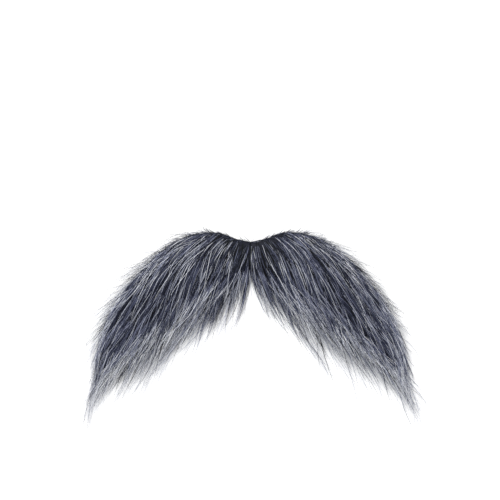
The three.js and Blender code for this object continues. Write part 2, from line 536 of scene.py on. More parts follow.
@dataclass
class HairField:
    """Grows strands over the right wing and, mirrored, over the left one.

    The lock fields say how far the broad locks differ, and sway how far the comb wanders over the
    wing, in waves of about sway_length. Pairs are the lowest and highest value.
    """

    plan: WingPlan
    relief: Relief
    sway: float = 3.0
    sway_length: float = 15 * MM
    sway_waves: int = 5
    sway_scales: tuple[float, float] = (0.7, 1.6)
    waves: tuple[float, float] = (0.6, 1.5)
    root_sink: float = 1.2 * MM
    rise_share: float = 0.4
    tip_drop: float = 0.2
    tuft_lift: float = 0.25 * MM
    lowest: float = 0.3 * MM
    pile_up: float = 0.4 * MM
    parting: float = 1.4 * MM
    slenderness: float = 2.6
    gather_power: float = 1.4
    tuft_reach: tuple[float, float] = (0.55, 1.5)
    # Spread of the painted root shade from strand to strand.
    root_shade_spread: tuple[float, float] = (-0.4, 1.4)
    lock_count: int = 120
    lock_turn: float = 3.2
    # Painted shade and light by lock height: sunken locks darker, raised ones lighter.
    lock_height_shading: float = 0.075
    lock_lift: float = 0.45 * MM
    lock_lifts: tuple[float, float] = (-1.5, 1.2)
    lock_gather: float = 0.35
    lock_uneven: float = 0.1
    lock_reach: tuple[float, float] = (0.75, 1.25)
    sunken_below: float = -0.7
    sunken_by: float = 0.8
    left_lock_seed: int = 8
    right_lock_seed: int = 14
    low_uneven: float = 0.9

    def __post_init__(self) -> None:
        """Lays out the locks of both halves."""
        self.locks = {side: self.lay_locks(side) for side in Side}

    def lay_locks(self, side: Side) -> Locks:
        """Lays out the locks of one half. Each lock's tone follows its height as painted shade and
        light:
        the sunken ones are darker and the raised ones lighter.

        Args:
            side: the half of the fur.

        Returns:
            Its locks.
        """
        seed = self.right_lock_seed if side is Side.RIGHT else self.left_lock_seed
        rng = np.random.default_rng([seed, side.value + 1])
        along, across = self.plan.scatter(rng, self.lock_count)
        depth = rng.normal(0, 1, self.lock_count)
        depth = np.where(depth < self.sunken_below, depth - self.sunken_by, depth)
        turn = rng.normal(0, self.lock_turn, self.lock_count)
        reach = 1 + rng.normal(0, self.lock_uneven, self.lock_count)
        return Locks(
            root=self.plan.place(along, across),
            heading=self.plan.comb(along, across),
            turn=turn,
            tone=depth * self.lock_height_shading,
            lift=np.clip(depth, *self.lock_lifts) * self.lock_lift,
            reach=np.clip(reach, *self.lock_reach),
        )

    def swayed(self, place: np.ndarray, seed: int) -> np.ndarray:
        """Slow change of direction over the wing.

        Args:
            place: X and Y of each root.
            seed: the seed of the chance that shapes it.

        Returns:
            The change at each root, in degrees.
        """
        rng = np.random.default_rng(seed)
        total = np.zeros(len(place))
        for _ in range(self.sway_waves):
            heading = rng.uniform(0, 2 * math.pi)
            wave_number = 2 * math.pi / (self.sway_length * rng.uniform(*self.sway_scales))
            run = place[:, 0] * math.cos(heading) + place[:, 1] * math.sin(heading)
            total += np.sin(run * wave_number + rng.uniform(0, 2 * math.pi))
        return self.sway * total / math.sqrt(self.sway_waves / 2)

    def nearest(
        self, root: np.ndarray, guides: np.ndarray, heading: np.ndarray
    ) -> tuple[np.ndarray, np.ndarray]:
        """Sorts roots to guides whose patches are long and narrow, along the hair.

        Args:
            root: the roots' places.
            guides: the guides' places.
            heading: the direction of the hair at each guide, in degrees below the horizontal.

        Returns:
            The number of each root's guide, and the point abreast of the root on the guide's line.
        """
        angle = np.radians(heading)
        way = np.stack([np.cos(angle), -np.sin(angle)], 1)
        gap = root[:, None, :] - guides[None, :, :]
        on = (gap * way[None]).sum(2)
        off = gap[..., 0] * way[:, 1] - gap[..., 1] * way[:, 0]
        chosen = ((on / self.slenderness) ** 2 + off**2).argmin(1)
        forward = on[np.arange(len(root)), chosen]
        return chosen, guides[chosen] + way[chosen] * forward[:, None]

    def headings(
        self,
        rng: np.random.Generator,
        along: np.ndarray,
        across: np.ndarray,
        lot: StrandLot,
        turn: float,
    ) -> np.ndarray:
        """Direction of each step of each strand.

        Args:
            rng: the source of chance.
            along: how far along the wing each strand is rooted.
            across: how far across it.
            lot: the settings of the lot.
            turn: how far the strands stray from the comb, in degrees.

        Returns:
            A row of angles for each strand, in degrees below the horizontal.
        """
        count, steps = len(along), lot.stations - 1
        place = self.plan.place(along, across)
        base = self.plan.comb(along, across) * lot.comb + lot.lean
        base = base + self.swayed(place, lot.seed) + rng.normal(0, turn, count)
        share = (np.arange(steps) + 0.5) / steps
        bend = self.plan.bend(along, across) * lot.bend
        curl = rng.uniform(-1, 1, (count, 1)) * lot.wave
        phase = rng.uniform(0, 2 * math.pi, (count, 1))
        waves = rng.uniform(*self.waves, (count, 1))
        wave = curl * np.sin(share * 2 * math.pi * waves + phase)
        return base[:, None] + bend[:, None] * share + wave

    def walk(self, root: np.ndarray, heading: np.ndarray, length: np.ndarray) -> np.ndarray:
        """Walks strands out from their roots.

        Args:
            root: X and Y of each root.
            heading: a row of angles for each strand.
            length: the length of each strand.

        Returns:
            X and Y of each station of each strand.
        """
        angle = np.radians(heading)
        step = (length / heading.shape[1])[:, None]
        moves = np.stack([np.cos(angle) * step, -np.sin(angle) * step], 2)
        start = np.zeros((len(root), 1, 2))
        return root[:, None, :] + np.concatenate([start, np.cumsum(moves, 1)], 1)

    def plant(self, rng: np.random.Generator, lot: StrandLot, locks: Locks) -> Planting:
        """Roots one lot's strands, fewer where the fur is sparse, and sorts them.

        Args:
            rng: the source of chance.
            lot: the settings of the lot.
            locks: the locks of the half that it grows on.

        Returns:
            The rooted strands.
        """
        along, across = self.plan.scatter(rng, lot.count, lot.zone, lot.stretch)
        missing = self.plan.sparseness(along, across) * lot.thinning
        there = rng.uniform(0, 1, lot.count) >= missing
        along, across = along[there], across[there]
        tuft_along, tuft_across = self.plan.scatter(rng, lot.tufts, lot.zone, lot.stretch)
        root = self.plan.place(along, across)
        tuft_root = self.plan.place(tuft_along, tuft_across)
        tuft_comb = self.plan.comb(tuft_along, tuft_across)
        tuft, tuft_abreast = self.nearest(root, tuft_root, tuft_comb)
        lock, lock_abreast = self.nearest(root, locks.root, locks.heading)
        return Planting(
            along, across, root, tuft_along, tuft_across, tuft, tuft_abreast, lock, lock_abreast
        )

    def plan_lines(
        self, rng: np.random.Generator, lot: StrandLot, planted: Planting, locks: Locks
    ) -> np.ndarray:
        """The strands as seen from above, gathered into their tufts and locks.

        Args:
            rng: the source of chance.
            lot: the settings of the lot.
            planted: the rooted strands.
            locks: the locks of the half.

        Returns:
            X and Y of each station of each strand.
        """
        count = len(planted.root)
        own = self.headings(rng, planted.along, planted.across, lot, lot.stray_turn)
        tufts = self.headings(rng, planted.tuft_along, planted.tuft_across, lot, lot.tuft_turn)
        led = tufts[planted.tuft]
        heading = own + (led - own) * lot.follow + locks.turn[planted.lock][:, None]
        chance = rng.uniform(0, 1, count)
        cut = self.plan.cut(planted.along, planted.across, chance) * lot.trim
        share = rng.triangular(*lot.length, count)
        length = self.plan.length(planted.along, planted.across) * share
        uneven = lot.uneven * (1 + self.low_uneven * self.plan.low_share(planted.tuft_across))
        tuft_reach = np.clip(1 + rng.normal(0, 1, lot.tufts) * uneven, *self.tuft_reach)
        length = length * (1 - cut) * tuft_reach[planted.tuft] * locks.reach[planted.lock]
        length = np.minimum(length, self.plan.room(planted.root))
        own_line = self.walk(planted.root, heading, length)
        tuft_line = self.walk(planted.tuft_abreast, heading, length)
        lock_line = self.walk(planted.lock_abreast, heading, length)
        pull = (np.linspace(0, 1, lot.stations) ** self.gather_power)[None, :, None]
        lines = own_line + (tuft_line - own_line) * pull * lot.gather
        return lines + (lock_line - own_line) * pull * self.lock_gather * lot.lock_share

    def heights(
        self,
        rng: np.random.Generator,
        lot: StrandLot,
        planted: Planting,
        locks: Locks,
        lines: np.ndarray,
    ) -> np.ndarray:
        """How high the strands run: up out of the underfur, over it and down at their tips.

        Args:
            rng: the source of chance.
            lot: the settings of the lot.
            planted: the rooted strands.
            locks: the locks of the half.
            lines: X and Y of each station of each strand.

        Returns:
            The height of each station of each strand.
        """
        count = len(planted.root)
        run = np.linspace(0, 1, lot.stations)
        height = self.relief.height(lines[..., 0], lines[..., 1])
        tuft_lift = rng.normal(0, self.tuft_lift, lot.tufts)[planted.tuft]
        tuft_lift = tuft_lift + locks.lift[planted.lock] * lot.lock_share
        lift = (rng.uniform(*lot.lift, count) + tuft_lift)[:, None]
        rise = smooth_step(run / self.rise_share)[None, :]
        height = height - self.root_sink * (1 - rise) + lift * rise * (1 - self.tip_drop * run)
        floor = self.lowest + rng.uniform(0, self.pile_up, (count, 1))
        return np.maximum(height, floor)

    def radii(
        self, rng: np.random.Generator, lot: StrandLot, planted: Planting
    ) -> np.ndarray:
        """How thick the strands are.

        Args:
            rng: the source of chance.
            lot: the settings of the lot.
            planted: the rooted strands.

        Returns:
            The radius of each station of each strand.
        """
        run = np.linspace(0, 1, lot.stations)
        taper = np.interp(run, [row.run for row in TAPER], [row.width for row in TAPER])
        full = self.plan.fineness(planted.along, planted.across)[:, None]
        fine = 1 - (1 - full) * lot.thinning
        return rng.uniform(*lot.width, (len(planted.root), 1)) / 2 * fine * taper[None, :]

    def tones(
        self, rng: np.random.Generator, lot: StrandLot, planted: Planting, locks: Locks
    ) -> np.ndarray:
        """How light the strands are.

        Args:
            rng: the source of chance.
            lot: the settings of the lot.
            planted: the rooted strands.
            locks: the locks of the half.

        Returns:
            The tone of each strand, from 0 to 1.
        """
        pale = self.plan.column("pale", planted.along) + self.plan.band("pale", planted.across)
        tuft_tone = rng.normal(0, lot.tuft_tone, lot.tufts)[planted.tuft]
        own = rng.normal(0, lot.tone_spread, len(planted.root))
        # The lock's part of the tone is painted shade and light by its height.
        tone = lot.tone + pale + tuft_tone + own + locks.tone[planted.lock] * lot.lock_share
        return np.clip(tone, 0, 1)

    def grow(self, lot: StrandLot, side: Side) -> Strands:
        """Grows one lot of strands on one side.

        Args:
            lot: the settings of the lot.
            side: the half of the fur that it grows on.

        Returns:
            The strands in place.
        """
        rng = np.random.default_rng([lot.seed, side.value + 1])
        locks = self.locks[side]
        planted = self.plant(rng, lot, locks)
        lines = self.plan_lines(rng, lot, planted, locks)
        height = self.heights(rng, lot, planted, locks, lines)
        radii = self.radii(rng, lot, planted)
        tone = self.tones(rng, lot, planted, locks)
        # The painted root shade, deepest near the bridge.
        spread = rng.uniform(*self.root_shade_spread, len(planted.root))
        dark = self.plan.dark(planted.root) * spread * lot.root_shade_share
        lines[..., 0] = np.maximum(lines[..., 0], -self.parting) * side.value
        return Strands(np.concatenate([lines, height[..., None]], 2), radii, tone, dark)


def mesh_object(name: str, corners: np.ndarray, faces: np.ndarray) -> bpy.types.Object:
    """Makes a mesh object of triangles, linked to the scene and shaded smooth.

    Args:
        name: the object's name.
        corners: the corners' places, one a row.
        faces: the numbers of each triangle's corners.

    Returns:
        The object.
    """
    mesh = bpy.data.meshes.new(name)
    mesh.vertices.add(len(corners))
    mesh.vertices.foreach_set("co", corners.astype(np.float32).ravel())
    mesh.loops.add(faces.size)
    mesh.loops.foreach_set("vertex_index", faces.astype(np.int32).ravel())
    mesh.polygons.add(len(faces))
    mesh.polygons.foreach_set("loop_start", np.arange(0, faces.size, 3, dtype=np.int32))
    mesh.update(calc_edges=True)
    mesh.polygons.foreach_set("use_smooth", np.ones(len(faces), bool))
    mesh.validate()
    made = bpy.data.objects.new(name, mesh)
    bpy.context.scene.collection.objects.link(made)
    return made


def set_values(made: bpy.types.Object, name: str, values: np.ndarray) -> None:
    """Keeps one number for each corner of a mesh under a name that a material can read."""
    attribute = made.data.attributes.new(name, "FLOAT", "POINT")
    attribute.data.foreach_set("value", values.astype(np.float32))


@dataclass
class StrandMesher:
    """Turns strands into closed, tapered, three-sided tubes that end in a point."""

    sides: int = 3

    def corners(self, strands: Strands) -> np.ndarray:
        """Sets rings of corners round each strand's line, and one corner at its tip.

        Args:
            strands: the strands.

        Returns:
            The corners' places, strand after strand.
        """
        lines, radii = strands.lines, strands.radii
        count = len(radii)
        way = np.gradient(lines, axis=1)
        way /= np.linalg.norm(way, axis=2, keepdims=True)
        side = np.cross(way, np.array([0.0, 0.0, 1.0]))
        side /= np.maximum(np.linalg.norm(side, axis=2, keepdims=True), 1e-9)
        rise = np.cross(side, way)
        turn = 2 * math.pi * np.arange(self.sides) / self.sides + math.pi / 2
        ring = (
            side[:, :-1, None, :] * np.cos(turn)[None, None, :, None]
            + rise[:, :-1, None, :] * np.sin(turn)[None, None, :, None]
        ) * radii[:, :-1, None, None]
        rings = (lines[:, :-1, None, :] + ring).reshape(count, -1, 3)
        return np.concatenate([rings, lines[:, -1:, :]], 1).reshape(-1, 3)

    def faces(self, count: int, stations: int) -> np.ndarray:
        """Joins the rings of each strand, and closes both its ends.

        Args:
            count: how many strands there are.
            stations: how many stations each has.

        Returns:
            The numbers of each triangle's corners.
        """
        sides, rings = self.sides, stations - 1
        tip = rings * sides
        one = []
        for ring in range(rings - 1):
            for k in range(sides):
                a, b = ring * sides + k, ring * sides + (k + 1) % sides
                one += [(a, b, b + sides), (a, b + sides, a + sides)]
        last = (rings - 1) * sides
        one += [(last + k, last + (k + 1) % sides, tip) for k in range(sides)]
        one += [(0, k + 1, k) for k in range(1, sides - 1)]
        shift = (np.arange(count) * (tip + 1))[:, None, None]
        return (np.array(one)[None] + shift).reshape(-1, 3)

    def build(self, name: str, strands: Strands) -> bpy.types.Object:
        """Makes one mesh object of all the strands, with the values that colour them.

        Args:
            name: the object's name.
            strands: the strands.

        Returns:
            The object.
        """
        count, stations = strands.radii.shape
        made = mesh_object(name, self.corners(strands), self.faces(count, stations))
        each = (stations - 1) * self.sides + 1
        run = np.append(np.repeat(np.linspace(0, 1, stations)[:-1], self.sides), 1.0)
        set_values(made, "hair_run", np.tile(run, count))
        set_values(made, "hair_tone", np.repeat(strands.tone, each))
        set_values(made, "hair_root_shade", np.repeat(strands.dark, each))
        return made


# Linear red, green and blue, and how opaque it is.
Colour = tuple[float, float, float, float]


def hex_colour(code: str) -> Colour:
    """Turns a display colour into a linear one, by the usual display curve.

    Args:
        code: six hexadecimal digits.

    Returns:
        The opaque colour.
    """
    shares = [int(code[i : i + 2], 16) / 255 for i in (0, 2, 4)]
    linear = [s / 12.92 if s <= 0.04045 else ((s + 0.055) / 1.055) ** 2.4 for s in shares]
    return (linear[0], linear[1], linear[2], 1.0)


def new_material(name: str) -> tuple[bpy.types.Material, bpy.types.ShaderNode]:
    """Makes a node material with nothing in it but a shader and its output.

    Args:
        name: the material's name.

    Returns:
        The material and its shader.
    """
    material = bpy.data.materials.new(name)
    material.use_nodes = True
    nodes = material.node_tree.nodes
    nodes.clear()
    output = nodes.new("ShaderNodeOutputMaterial")
    shader = nodes.new("ShaderNodeBsdfPrincipled")
    material.node_tree.links.new(shader.outputs["BSDF"], output.inputs["Surface"])
    return material, shader


def ramp_node(
    tree: bpy.types.NodeTree, stops: tuple[tuple[float, Colour], ...]
) -> bpy.types.ShaderNode:
    """Makes a colour ramp.

    Args:
        tree: the nodes that it joins.
        stops: the ramp's places and colours.

    Returns:
        The ramp's node.
    """
    node = tree.nodes.new("ShaderNodeValToRGB")
    elements = node.color_ramp.elements
    while len(elements) < len(stops):
        elements.new(0.5)
    for element, (place, colour) in zip(elements, stops):
        element.position = place
        element.color = colour
    return node


def bump_node(
    tree: bpy.types.NodeTree,
    shader: bpy.types.ShaderNode,
    height: bpy.types.NodeSocket,
    strength: float,
    distance: float,
) -> None:
    """Raises a surface by a height that varies over it.

    Args:
        tree: the nodes of the material.
        shader: the material's shader.
        height: the socket that gives the height.
        strength: how strongly it shows.
        distance: the height of the relief in metres.
    """
    bump = tree.nodes.new("ShaderNodeBump")
    bump.inputs["Strength"].default_value = strength
    bump.inputs["Distance"].default_value = distance
    tree.links.new(height, bump.inputs["Height"])
    tree.links.new(bump.outputs["Normal"], shader.inputs["Normal"])


@dataclass(frozen=True)
class FibreGrading:
    """The node group that grades fibres from root to tip, with flecks and fine ridges.

    Inputs: Fibre Colour, the colour of the painted shade at the root, Tip Colour, Run (0 at the
    root, 1 at the tip), the share of the hair painted in root shade, Tip Share and Fleck. Outputs:
    Colour, Roughness and Ridges. root_blend is the length of the change out of the painted root
    shade, and root_fibre how much of the fibre's own colour the root has. The tip's colour starts
    to show at tip_from.
    """

    name: str = "fibre_grading"
    root_blend: float = 0.22
    root_fibre: float = 0.06
    tip_from: float = 0.55
    grain: float = 1400.0
    grain_detail: float = 3.0
    roughness: tuple[float, float] = (0.42, 0.68)

    def group(self) -> bpy.types.NodeTree:
        """Gives the group, and builds it the first time.

        Returns:
            The group's node tree.
        """
        if self.name in bpy.data.node_groups:
            return bpy.data.node_groups[self.name]
        tree = bpy.data.node_groups.new(self.name, "ShaderNodeTree")
        self.add_sockets(tree)
        given = tree.nodes.new("NodeGroupInput")
        result = tree.nodes.new("NodeGroupOutput")
        rooted = self.add_root(tree, given)
        tipped = self.add_tip(tree, given, rooted)
        self.add_grain(tree, given, tipped, result)
        return tree

    def add_sockets(self, tree: bpy.types.NodeTree) -> None:
        """Names what goes into the group and what comes out.

        Args:
            tree: the group's node tree.
        """
        face = tree.interface
        for label in ("Fibre Colour", "Root Shade Colour", "Tip Colour"):
            face.new_socket(label, in_out="INPUT", socket_type="NodeSocketColor")
        for label in ("Run", "Root Shade Share", "Tip Share", "Fleck"):
            face.new_socket(label, in_out="INPUT", socket_type="NodeSocketFloat")
        face.new_socket("Colour", in_out="OUTPUT", socket_type="NodeSocketColor")
        for label in ("Roughness", "Ridges"):
            face.new_socket(label, in_out="OUTPUT", socket_type="NodeSocketFloat")

    def add_root(
        self, tree: bpy.types.NodeTree, given: bpy.types.ShaderNode
    ) -> bpy.types.NodeSocket:
        """Blends from the painted root shade to the fibre's own colour past the share painted in
        root shade.

        Args:
            tree: the group's node tree.
            given: the node of the group's inputs.

        Returns:
            The socket of the blended colour.
        """
        nodes, links = tree.nodes, tree.links
        soft = nodes.new("ShaderNodeMath")
        soft.operation = "ADD"
        soft.inputs[1].default_value = self.root_blend
        links.new(given.outputs["Root Shade Share"], soft.inputs[0])
        past = nodes.new("ShaderNodeMapRange")
        past.interpolation_type = "SMOOTHSTEP"
        past.inputs["To Min"].default_value = self.root_fibre
        links.new(given.outputs["Run"], past.inputs["Value"])
        links.new(given.outputs["Root Shade Share"], past.inputs["From Min"])
        links.new(soft.outputs[0], past.inputs["From Max"])
        blend = nodes.new("ShaderNodeMix")
        blend.data_type = "RGBA"
        links.new(past.outputs["Result"], blend.inputs["Factor"])
        links.new(given.outputs["Root Shade Colour"], blend.inputs["A"])
        links.new(given.outputs["Fibre Colour"], blend.inputs["B"])
        return blend.outputs["Result"]

    def add_tip(
        self,
        tree: bpy.types.NodeTree,
        given: bpy.types.ShaderNode,
        rooted: bpy.types.NodeSocket,
    ) -> bpy.types.NodeSocket:
        """Blends the tip's colour in towards the end.

        Args:
            tree: the group's node tree.
            given: the node of the group's inputs.
            rooted: the socket of the colour so far.

        Returns:
            The socket of the blended colour.
        """
        nodes, links = tree.nodes, tree.links
        late = nodes.new("ShaderNodeMapRange")
        late.interpolation_type = "SMOOTHSTEP"
        late.inputs["From Min"].default_value = self.tip_from
        late.inputs["From Max"].default_value = 1.0
        links.new(given.outputs["Run"], late.inputs["Value"])
        links.new(given.outputs["Tip Share"], late.inputs["To Max"])
        blend = nodes.new("ShaderNodeMix")
        blend.data_type = "RGBA"
        links.new(late.outputs["Result"], blend.inputs["Factor"])
        links.new(rooted, blend.inputs["A"])
        links.new(given.outputs["Tip Colour"], blend.inputs["B"])
        return blend.outputs["Result"]

    def add_grain(
        self,
        tree: bpy.types.NodeTree,
        given: bpy.types.ShaderNode,
        tipped: bpy.types.NodeSocket,
        result: bpy.types.ShaderNode,
    ) -> None:
        """Flecks the colour with a fine grain, which gives the roughness and the ridges too.

        Args:
            tree: the group's node tree.
            given: the node of the group's inputs.
            tipped: the socket of the colour so far.
            result: the node of the group's outputs.
        """
        nodes, links = tree.nodes, tree.links
        place = nodes.new("ShaderNodeTexCoord")
        noise = nodes.new("ShaderNodeTexNoise")
        noise.inputs["Scale"].default_value = self.grain
        noise.inputs["Detail"].default_value = self.grain_detail
        links.new(place.outputs["Object"], noise.inputs["Vector"])
        centred = nodes.new("ShaderNodeMapRange")
        centred.inputs["To Min"].default_value = -1.0
        links.new(noise.outputs["Fac"], centred.inputs["Value"])
        flecked = nodes.new("ShaderNodeMath")
        flecked.operation = "MULTIPLY_ADD"
        flecked.inputs[2].default_value = 1.0
        links.new(centred.outputs["Result"], flecked.inputs[0])
        links.new(given.outputs["Fleck"], flecked.inputs[1])
        shaded = nodes.new("ShaderNodeVectorMath")
        shaded.operation = "SCALE"
        links.new(tipped, shaded.inputs[0])
        links.new(flecked.outputs[0], shaded.inputs["Scale"])
        links.new(shaded.outputs["Vector"], result.inputs["Colour"])
        rough = nodes.new("ShaderNodeMapRange")
        rough.inputs["To Min"].default_value, rough.inputs["To Max"].default_value = self.roughness
        links.new(noise.outputs["Fac"], rough.inputs["Value"])
        links.new(rough.outputs["Result"], result.inputs["Roughness"])
        links.new(noise.outputs["Fac"], result.inputs["Ridges"])


@dataclass(frozen=True)
class FibreFinish:
    """Dyed synthetic fibre: a ramp of tones from strand to strand, graded from a painted shade at
    the root to the tip.
    """

    name: str
    tones: tuple[tuple[float, str], ...]
    # Colour of the painted shade at the roots.
    root: str = "171a17"
    tip: str = "7f859a"
    tip_share: float = 0.15
    fleck: float = 0.3
    gloss: float = 0.15
    ridge: float = 0.02 * MM
    ridge_strength: float = 0.25

    def material(self) -> bpy.types.Material:
        """Makes the material, which reads the values kept on the strands.

        Returns:
            The material.
        """
        material, shader = new_material(self.name)
        tree = material.node_tree
        nodes, links = tree.nodes, tree.links
        values = {}
        for label in ("hair_run", "hair_tone", "hair_root_shade"):
            values[label] = nodes.new("ShaderNodeAttribute")
            values[label].attribute_name = label
        ramp = ramp_node(tree, tuple((place, hex_colour(code)) for place, code in self.tones))
        links.new(values["hair_tone"].outputs["Fac"], ramp.inputs["Fac"])
        group = nodes.new("ShaderNodeGroup")
        group.node_tree = FibreGrading().group()
        group.inputs["Root Shade Colour"].default_value = hex_colour(self.root)
        group.inputs["Tip Colour"].default_value = hex_colour(self.tip)
        group.inputs["Tip Share"].default_value = self.tip_share
        group.inputs["Fleck"].default_value = self.fleck
        links.new(ramp.outputs["Color"], group.inputs["Fibre Colour"])
        links.new(values["hair_run"].outputs["Fac"], group.inputs["Run"])
        links.new(values["hair_root_shade"].outputs["Fac"], group.inputs["Root Shade Share"])
        links.new(group.outputs["Colour"], shader.inputs["Base Color"])
        links.new(group.outputs["Roughness"], shader.inputs["Roughness"])
        ridges = group.outputs["Ridges"]
        bump_node(tree, shader, ridges, self.ridge_strength, self.ridge)
        shader.inputs["Specular IOR Level"].default_value = self.gloss
        return material


# Tones by strength: bluish grey for the body of the fur, and a plainer grey for its thin parts.
FUR_TONES = (
    (0.0, "08090e"),
    (0.2, "181b28"),
    (0.45, "41465e"),
    (0.7, "858aa3"),
    (0.86, "b9bdca"),
    (1.0, "edeff6"),
)
GREY_TONES = (
    (0.0, "0a0b0c"),
    (0.2, "1b1d21"),
    (0.45, "464a59"),
    (0.7, "868b9f"),
    (1.0, "eeeff2"),
)


@dataclass
class Underfur:
    """The dense short fur under the long hair: one closed dome on the cloth."""

    plan: WingPlan
    relief: Relief
    along_steps: int = 90
    across_steps: int = 30
    inset: float = 0.5 * MM
    ruffle: float = 0.35 * MM
    base_gap: float = 0.05 * MM
    parting_gap: float = 0.15 * MM
    stretch: tuple[float, float] = (0.002, 0.995)
    zone: tuple[float, float] = (0.01, 0.99)
    run: float = 0.4
    tones: tuple[float, float] = (0.04, 0.22)
    seed: int = 7

    def build(self, side: Side) -> bpy.types.Object:
        """Makes the dome of one half.

        Args:
            side: the half of the fur.

        Returns:
            The dome as a mesh object.
        """
        rng = np.random.default_rng([self.seed, side.value + 1])
        along = np.linspace(*self.stretch, self.along_steps + 1)
        across = np.linspace(*self.zone, self.across_steps + 1)
        grid_along, grid_across = (g.ravel() for g in np.meshgrid(along, across, indexing="ij"))
        place = self.plan.place(grid_along, grid_across)
        height = self.relief.height(place[:, 0], place[:, 1]) - self.inset
        height = height + rng.uniform(-1, 1, len(height)) * self.ruffle
        base = self.plan.cloth_top + self.base_gap
        height = np.maximum(height, base + self.inset)
        x = np.maximum(place[:, 0], self.parting_gap) * side.value
        top = np.stack([x, place[:, 1], height], 1)
        under = np.stack([x, place[:, 1], np.full(len(x), base)], 1)
        made = mesh_object(
            f"underfur_{side.name.lower()}", np.concatenate([top, under]), self.faces(side)
        )
        count = len(made.data.vertices)
        set_values(made, "hair_run", np.full(count, self.run))
        set_values(made, "hair_tone", rng.uniform(*self.tones, count))
        set_values(made, "hair_root_shade", np.zeros(count))
        return made

    def faces(self, side: Side) -> np.ndarray:
        """Joins the dome's top, its underside and the wall round it.

        Args:
            side: the half of the fur.

        Returns:
            The numbers of each triangle's corners.
        """
        rows, columns = self.along_steps + 1, self.across_steps + 1
        grid = np.arange(rows * columns).reshape(rows, columns)
        a, b = grid[:-1, :-1].ravel(), grid[1:, :-1].ravel()
        c, d = grid[1:, 1:].ravel(), grid[:-1, 1:].ravel()
        top = np.concatenate([np.stack([a, c, b], 1), np.stack([a, d, c], 1)])
        rim = np.concatenate([grid[:, 0], grid[-1, 1:], grid[-2::-1, -1], grid[0, -2:0:-1]])
        on = np.roll(rim, -1)
        under = rows * columns
        wall = np.concatenate(
            [
                np.stack([rim, on, on + under], 1),
                np.stack([rim, on + under, rim + under], 1),
            ]
        )
        faces = np.concatenate([top, top[:, ::-1] + under, wall])
        return faces if side is Side.RIGHT else faces[:, ::-1]


